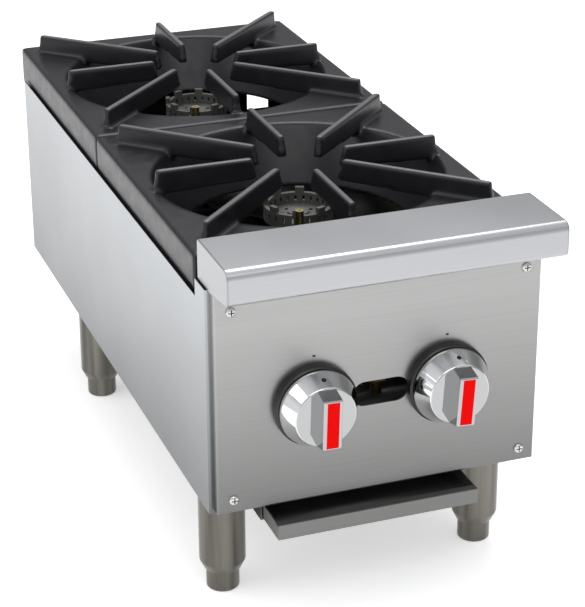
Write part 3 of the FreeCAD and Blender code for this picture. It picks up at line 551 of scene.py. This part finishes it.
def ledge_block(bm, left, right):
    """The solid outline of the ledge between two places across it, with its folds rounded."""
    outline = (
        (ledge_high.y, ledge_low.z), (panel_face_y, ledge_low.z), (ledge_low.y, ledge_lip_z),
        (ledge_low.y, ledge_high.z), (ledge_high.y, ledge_high.z),
    )
    corners = [bm.verts.new((left, y, z)) for y, z in outline]
    face = bm.faces.new(corners)
    grown = bmesh.ops.extrude_face_region(bm, geom=[face])
    moved = [v for v in grown["geom"] if isinstance(v, bmesh.types.BMVert)]
    bmesh.ops.translate(bm, verts=moved, vec=(right - left, 0, 0))
    bmesh.ops.recalc_face_normals(bm, faces=bm.faces)
    for y, z, radius, segments in (
        (ledge_low.y, ledge_high.z, ledge_nose_r, 10),
        (ledge_low.y, ledge_lip_z, ledge_lip_r, 6),
        (ledge_high.y, ledge_high.z, ledge_back_r, 5),
        (ledge_high.y, ledge_low.z, ledge_back_r, 5),
    ):
        folds = []
        for e in bm.edges:
            ends = e.verts
            along = abs(ends[0].co.x - ends[1].co.x) > 1e-4
            here = all(abs(v.co.y - y) < 1e-5 and abs(v.co.z - z) < 1e-5 for v in ends)
            if along and here:
                folds.append(e)
        bmesh.ops.bevel(
            bm, geom=folds, offset=radius, offset_type="OFFSET", affect="EDGES", segments=segments,
            profile=0.5, material=-1,
        )


bm = bmesh.new()
ledge_block(bm, ledge_low.x, ledge_high.x)
add_piece("front_ledge_folded", bm, ledge_steel, "frame_body", ["front_ledge"], 30)
for hand, left, right in (
    ("left", -cap_high.x, -cap_low.x), ("right", cap_low.x, cap_high.x),
):
    bm = bmesh.new()
    ledge_block(bm, left, right)
    outer = left if hand == "left" else right
    rim = []
    for e in bm.edges:
        if all(abs(v.co.x - outer) < 1e-6 for v in e.verts):
            rim.append(e)
    bmesh.ops.bevel(
        bm, geom=rim, offset=cap_edge, offset_type="OFFSET", affect="EDGES", segments=3,
        profile=0.5, material=-1,
    )
    node = "ledge_" + hand + "_cap"
    add_piece(node + "_plate", bm, cap_steel_painted_dark, "frame_body", [node], 30)

# Knob bezels: black plastic rings between the knobs and the panel. Each is moulded with a chamfer round its
# front and held on the panel by the valve stem.
bezel_black = plain_finish("black plastic", (0.012, 0.012, 0.013), 0.35, 0.0, 900, 0.2, 0.1)
bezel_bore_r = 0.006
bezel_r = 0.037
bezel_face_r = 0.0355
bezel_side = 0.0075
bezel_depth = 0.009
for hand in ("left", "right"):
    node = hand + "_knob_bezel"
    low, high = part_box(node)
    centre = Vector(((low.x + high.x) / 2, high.y, (low.z + high.z) / 2))
    bm = bmesh.new()
    turn(
        bm,
        (
            (bezel_bore_r, 0.0), (bezel_r, 0.0), (bezel_r, bezel_side), (bezel_face_r, bezel_depth),
            (bezel_bore_r, bezel_depth), (bezel_bore_r, 0.0),
        ),
        centre, (0, -1, 0), 96,
    )
    soften(bm, 0.0004, 2)
    add_piece(node + "_ring", bm, bezel_black, "frame_body", [node])

# Knobs: zinc castings polished and chromed, a skirt that narrows to a flat face with an upright grip bar.
# Each is pushed on its valve stem, and a red enamel stripe fills a recess in the front of the grip. The face
# and the grip are painted darker than the skirt: painted shade, for their dimmer reflection.
chrome = plain_finish("polished chrome", (0.90, 0.905, 0.91), 0.05, 1.0, 60, 0.01, 0.0)
stripe_red = plain_finish("red enamel", (0.95, 0.002, 0.002), 0.6, 0.0, 300, 0.02, 0.03)
stripe_red.node_tree.nodes["Principled BSDF"].inputs["Specular IOR Level"].default_value = 0.05
knob_r = 0.035
knob_face_r = 0.027
knob_hollow_r = 0.0325
knob_hollow = 0.018
knob_back = 0.0098
knob_band = 0.0130
knob_face = 0.0298
knob_front = 0.0457
grip_half = 0.0085
grip_base_half = 0.026
grip_front_half = 0.0225
stripe_width = 0.011
stripe_length = 0.042
stripe_back = 0.0452
stripe_front = 0.046
mark_r = 0.0021
mark_sunk = 0.0006
mark_proud = 0.0001
mark_depth = (knob_band + knob_face) / 2
mark_reach = 0.031
skirt_outward = Vector((0, knob_face_r - knob_r, knob_face - knob_band)).normalized()
index_rise = 0.043
index_half = 0.0013
index_length = 0.0018
index_sunk = 0.0004
knob_face_y = panel_face_y - knob_face
shade_step = 0.001
# Painted shade: the face and the grip are painted darker than the skirt, to 46%, for the dimmer reflection
# that they show.
paint_shade_towards(chrome, "Y", knob_face_y, knob_face_y + shade_step, 0.46)
for hand, knob_turn in (("left", 1.5), ("right", 3.5)):
    low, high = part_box(hand + "_knob_bezel")
    centre = Vector(((low.x + high.x) / 2, panel_face_y, (low.z + high.z) / 2))
    turned = Matrix.Rotation(math.radians(knob_turn), 3, "Y")
    bm = bmesh.new()
    turn(
        bm,
        (
            (0.0, knob_hollow), (knob_hollow_r, knob_hollow), (knob_hollow_r, knob_back),
            (knob_r, knob_back), (knob_r, knob_band), (knob_face_r, knob_face), (0.0, knob_face),
        ),
        centre, (0, -1, 0), 96,
    )
    soften(bm, 0.0012, 4, 20)
    grip = bmesh.new()
    bmesh.ops.create_cube(grip, size=1.0)
    for v in grip.verts:
        front = v.co.y < 0
        half = grip_front_half if front else grip_base_half
        depth = knob_front if front else knob_face - 0.002
        v.co = Vector((v.co.x * 2 * grip_half, -depth, v.co.z * 2 * half))
    soften(grip, 0.0014, 4)
    bmesh.ops.translate(grip, verts=grip.verts, vec=centre)
    grip_mesh = bpy.data.meshes.new(hand + "_grip")
    grip.to_mesh(grip_mesh)
    grip.free()
    bm.from_mesh(grip_mesh)
    bpy.data.meshes.remove(grip_mesh)
    bmesh.ops.rotate(bm, verts=bm.verts, cent=centre, matrix=turned)
    add_piece(hand + "_knob_casting", bm, chrome, hand + "_knob_turning", [hand + "_knob"], 35)
    bm = bmesh.new()
    bmesh.ops.create_cube(bm, size=1.0)
    for v in bm.verts:
        depth = stripe_front if v.co.y < 0 else stripe_back
        v.co = Vector((v.co.x * stripe_width, -depth, v.co.z * stripe_length))
    soften(bm, 0.0003, 2)
    bmesh.ops.translate(bm, verts=bm.verts, vec=centre)
    bmesh.ops.rotate(bm, verts=bm.verts, cent=centre, matrix=turned)
    add_piece(
        hand + "_knob_enamel", bm, stripe_red, hand + "_knob_turning", [hand + "_knob_stripe"]
    )
    bm = bmesh.new()
    turn(
        bm, ((0.0, -mark_sunk), (mark_r, -mark_sunk), (mark_r, mark_proud), (0.0, mark_proud)),
        centre + Vector((0, -mark_depth, mark_reach)), skirt_outward, 24,
    )
    bmesh.ops.rotate(bm, verts=bm.verts, cent=centre, matrix=turned)
    add_piece(hand + "_knob_pointer", bm, shade_black, hand + "_knob_turning", [])
    bm = bmesh.new()
    block(
        bm,
        centre + Vector((-index_half, -mark_proud, index_rise)),
        centre + Vector((index_half, index_sunk, index_rise + index_length)),
    )
    add_piece(hand + "_knob_index", bm, shade_black, "frame_body", [])

# Drip tray: a shallow pan folded from stainless sheet, with a hem along the rounded lip at its front.
# It slides on its runners between the legs.
tray_steel = grained_metal("tray steel", (0.225, 0.225, 0.22), 0.55, (6, 40, 900), 0.05, 0.12)
tray_sheet = 0.0012
tray_hem = 0.008
tray_lip_round = 0.0010
tray_low, tray_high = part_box("drip_tray")
bm = bmesh.new()
block(bm, tray_low, tray_high)
lid = [f for f in bm.faces if f.normal.z > 0.9]
bmesh.ops.delete(bm, geom=lid, context="FACES_ONLY")
bmesh.ops.recalc_face_normals(bm, faces=bm.faces)
# The floor faces down, so that the sheet gets its thickness on the inside.
if any(f.normal.z > 0 for f in bm.faces if abs(f.normal.z) > 0.9):
    bmesh.ops.reverse_faces(bm, faces=bm.faces)
bmesh.ops.solidify(bm, geom=list(bm.faces), thickness=tray_sheet)
lip = []
for e in bm.edges:
    if all(abs(v.co.y - tray_low.y) + abs(v.co.z - tray_high.z) < 1e-5 for v in e.verts):
        lip.append(e)
bmesh.ops.bevel(
    bm, geom=lip, offset=tray_lip_round, offset_type="OFFSET", affect="EDGES", segments=4,
    profile=0.5, material=-1,
)
soften(bm, 0.0005, 2)
block(
    bm,
    (tray_low.x, tray_low.y + tray_lip_round, tray_high.z - tray_sheet),
    (tray_high.x, tray_low.y + tray_hem, tray_high.z),
)
add_piece("drip_tray_pan", bm, tray_steel, "tray", ["drip_tray"])

# Grates: black-enamelled iron castings, each a flat plate with side skirts, a round bowl under the pan and
# eight fingers rising from it. They lie loose on the grate rails and lift off for cleaning.
grate_enamel = plain_finish("black enamel on iron", (0.012, 0.012, 0.0155), 0.33, 0.0, 900, 0.25, 0.10)
# The tops of the fingers are lighter than the rest of the enamel.
finger_top_tone = (0.11, 0.11, 0.112)
top_tone_start = 0.3512
top_tone_full = 0.3522
enamel_tree = grate_enamel.node_tree
enamel_shader = enamel_tree.nodes["Principled BSDF"]
enamel_shader.inputs["Specular IOR Level"].default_value = 0.36
enamel_colour = enamel_shader.inputs["Base Color"]
enamel_place = enamel_tree.nodes.new("ShaderNodeTexCoord")
enamel_axes = enamel_tree.nodes.new("ShaderNodeSeparateXYZ")
enamel_top_level = enamel_tree.nodes.new("ShaderNodeMapRange")
enamel_top_tone = enamel_tree.nodes.new("ShaderNodeMix")
enamel_top_level.inputs["From Min"].default_value = top_tone_start
enamel_top_level.inputs["From Max"].default_value = top_tone_full
enamel_top_tone.data_type = "RGBA"
enamel_top_tone.inputs["B"].default_value = finger_top_tone + (1,)
enamel_tree.links.new(enamel_place.outputs["Object"], enamel_axes.inputs["Vector"])
enamel_tree.links.new(enamel_axes.outputs["Z"], enamel_top_level.inputs["Value"])
enamel_tree.links.new(enamel_top_level.outputs["Result"], enamel_top_tone.inputs["Factor"])
enamel_tree.links.new(enamel_colour.links[0].from_socket, enamel_top_tone.inputs["A"])
enamel_tree.links.new(enamel_top_tone.outputs["Result"], enamel_colour)
plate_top = 0.334
plate_low = 0.327
plate_round = 0.0035
grate_half_x = 0.1495
grate_half_y = 0.1545
skirt_foot = 0.296
skirt_wall = 0.006
end_skirt_foot = 0.314
bowl_edge_r = 0.137
bowl_outline = (
    (0.1362, plate_top), (0.1350, 0.3337), (0.1338, 0.3328), (0.1330, 0.3315), (0.1055, 0.2803),
    (0.1052, 0.2790), (0.1065, 0.2785), (0.1105, 0.2790), (0.140, plate_top), (0.1362, plate_top),
)
finger_top = 0.3526
finger_low = 0.329
finger_tip_low = 0.3326
finger_tip_r = 0.045
finger_slope = 0.005
finger_half = 0.0042
finger_crown = 0.82
finger_sunk = 0.002
finger_lean = 0.003
short_finger_r = 0.135
long_finger_r = 0.1864
casting_grain = 0.0019
for end in ("front", "rear"):
    node = end + "_grate"
    low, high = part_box(node)
    centre = Vector((0, (low.y + high.y) / 2, 0))
    bm = bmesh.new()
    bmesh.ops.create_circle(bm, segments=160, radius=bowl_edge_r, cap_ends=False)
    rim = bmesh.ops.extrude_edge_only(bm, edges=list(bm.edges))
    for v in [g for g in rim["geom"] if isinstance(g, bmesh.types.BMVert)]:
        reach = max(abs(v.co.x), abs(v.co.y))
        v.co = Vector((v.co.x / reach * grate_half_x, v.co.y / reach * grate_half_y, 0))
    bmesh.ops.translate(bm, verts=bm.verts, vec=(0, 0, plate_top))
    grown = bmesh.ops.extrude_face_region(bm, geom=list(bm.faces))
    moved = [v for v in grown["geom"] if isinstance(v, bmesh.types.BMVert)]
    bmesh.ops.translate(bm, verts=moved, vec=(0, 0, plate_low - plate_top))
    shoulder = []
    for e in bm.edges:
        ends = [v.co for v in e.verts]
        on_top = all(abs(p.z - plate_top) < 1e-6 for p in ends)
        outer = all(abs(p.x) > grate_half_x - 1e-6 or abs(p.y) > grate_half_y - 1e-6 for p in ends)
        if on_top and outer:
            shoulder.append(e)
    bmesh.ops.bevel(
        bm, geom=shoulder, offset=plate_round, offset_type="OFFSET", affect="EDGES", segments=4,
        profile=0.5, material=-1,
    )
    for sign in (-1, 1):
        edge = sorted((sign * grate_half_x, sign * (grate_half_x - skirt_wall)))
        block(bm, (edge[0], -grate_half_y, skirt_foot), (edge[1], grate_half_y, plate_top - plate_round))
        edge = sorted((sign * grate_half_y, sign * (grate_half_y - skirt_wall)))
        block(bm, (-grate_half_x, edge[0], end_skirt_foot), (grate_half_x, edge[1], plate_top - plate_round))
    turn(bm, bowl_outline, Vector((0, 0, 0)), (0, 0, 1), 160)
    for i in range(8):
        end_r = long_finger_r if i % 2 else short_finger_r
        outline = [
            (finger_tip_r, finger_top), (finger_tip_r - finger_slope, finger_tip_low),
            (bowl_edge_r, finger_low), (bowl_edge_r, plate_top - finger_sunk),
            (end_r + finger_lean, plate_top - finger_sunk), (end_r, finger_top),
        ]
        corners = [bm.verts.new((r, -finger_half, z)) for r, z in outline]
        face = bm.faces.new(corners)
        grown = bmesh.ops.extrude_face_region(bm, geom=[face])
        moved = [v for v in grown["geom"] if isinstance(v, bmesh.types.BMVert)]
        bmesh.ops.translate(bm, verts=moved, vec=(0, 2 * finger_half, 0))
        finger = corners + moved
        for v in finger:
            if v.co.z > finger_top - 1e-5:
                v.co.y *= finger_crown
        bmesh.ops.rotate(
            bm, verts=finger, cent=(0, 0, 0), matrix=Matrix.Rotation(math.tau * i / 8, 3, "Z")
        )
    bmesh.ops.translate(bm, verts=bm.verts, vec=centre)
    bmesh.ops.recalc_face_normals(bm, faces=bm.faces)
    rough = bpy.data.meshes.new(node + "_rough")
    bm.to_mesh(rough)
    bm.free()
    block_out = bpy.data.objects.new(node + "_rough", rough)
    scene.collection.objects.link(block_out)
    join = block_out.modifiers.new("cast as one", "REMESH")
    join.mode = "VOXEL"
    join.voxel_size = casting_grain
    ease = block_out.modifiers.new("rounded edges", "SMOOTH")
    ease.factor = 0.5
    ease.iterations = 6
    bpy.context.view_layer.update()
    cast = bpy.data.meshes.new_from_object(block_out.evaluated_get(bpy.context.evaluated_depsgraph_get()))
    bpy.data.objects.remove(block_out)
    bm = bmesh.new()
    bm.from_mesh(cast)
    bpy.data.meshes.remove(cast)
    add_piece(node + "_casting", bm, grate_enamel, end + "_grate_lifted", [node], 180)
